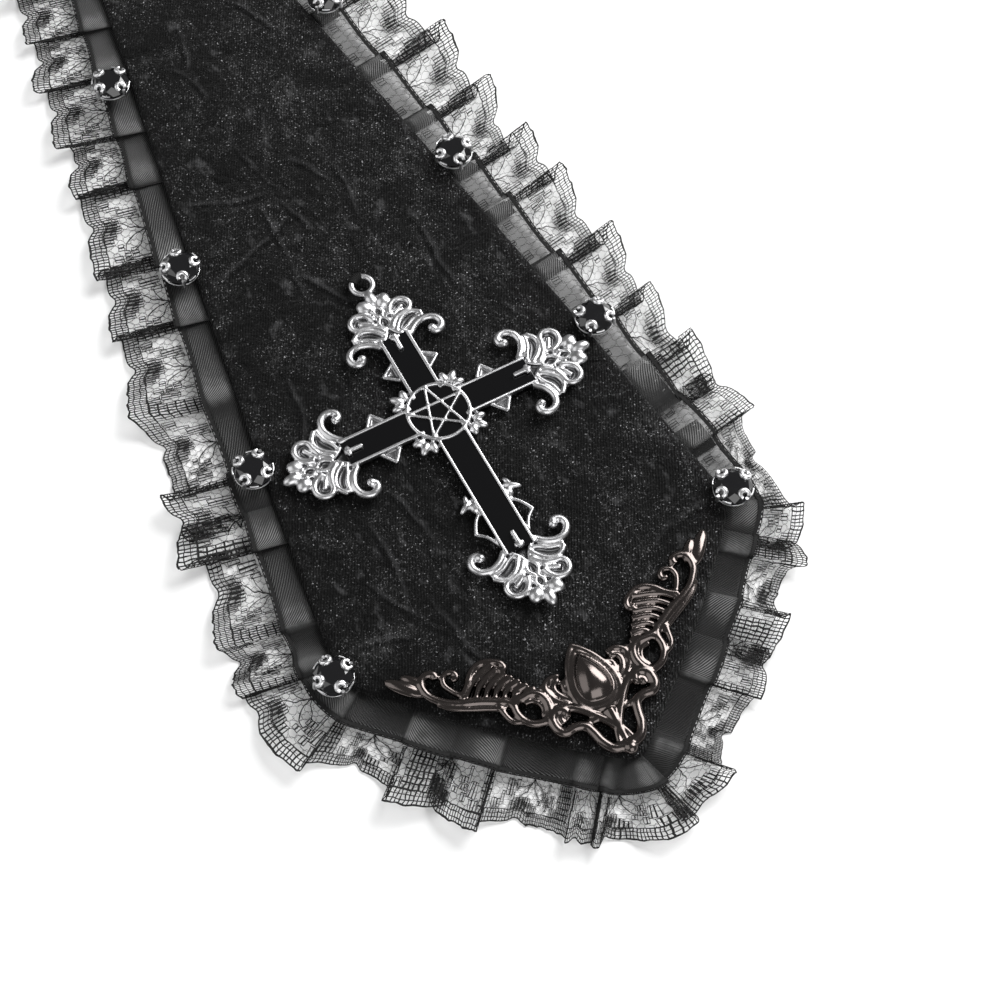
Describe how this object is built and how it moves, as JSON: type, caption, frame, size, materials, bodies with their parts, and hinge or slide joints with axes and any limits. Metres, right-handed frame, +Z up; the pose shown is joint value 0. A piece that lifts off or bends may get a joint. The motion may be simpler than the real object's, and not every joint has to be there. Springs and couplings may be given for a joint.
{
  "type": "lace jabot",
  "caption": "Tie-shaped velvet jabot with a pointed end, gathered lace edge, stones in claw settings, an enamelled cross and a neck band.",
  "frame": {"origin": "middle of the underside of the bounding box, on the surface that the piece lies on", "axes": "+Z up from the surface, +Y along the blade from its point to the knot and neck band, +X to the right seen from the front of the blade"},
  "size_m": [0.121, 0.4272, 0.015],
  "materials": {
    "velvet": "crushed black velvet",
    "ribbon": "pleated black satin organza",
    "lace": "black net lace",
    "stone": "faceted black, polished",
    "silver": "bright silver plating, darker in its hollows",
    "gunmetal": "polished gunmetal plating",
    "enamel": "black enamel, glossy"
  },
  "bodies": {
    "root": {"velvet_blade": "velvet", "lace_left": "lace", "ribbon_left": "ribbon", "lace_lower_left": "lace", "ribbon_lower_left": "ribbon", "lace_lower_right": "lace", "ribbon_lower_right": "ribbon", "lace_right": "lace", "ribbon_right": "ribbon", "setting_left_1": "silver", "stone_left_1": "stone", "setting_left_2": "silver", "stone_left_2": "stone", "setting_left_3": "silver", "stone_left_3": "stone", "setting_left_4": "silver", "stone_left_4": "stone", "setting_left_5": "silver", "stone_left_5": "stone", "setting_right_1": "silver", "stone_right_1": "stone", "setting_right_2": "silver", "stone_right_2": "stone", "setting_right_3": "silver", "stone_right_3": "stone", "setting_right_4": "silver", "stone_right_4": "stone", "setting_right_5": "silver", "stone_right_5": "stone", "cross": "silver", "enamel_top": "enamel", "enamel_left": "enamel", "enamel_bottom": "enamel", "enamel_right": "enamel", "enamel_disc": "enamel", "point_ornament": "gunmetal", "knot": "velvet", "neck_band_left": "velvet", "neck_band_right": "velvet", "clasp": "silver"}
  },
  "joints": []
}
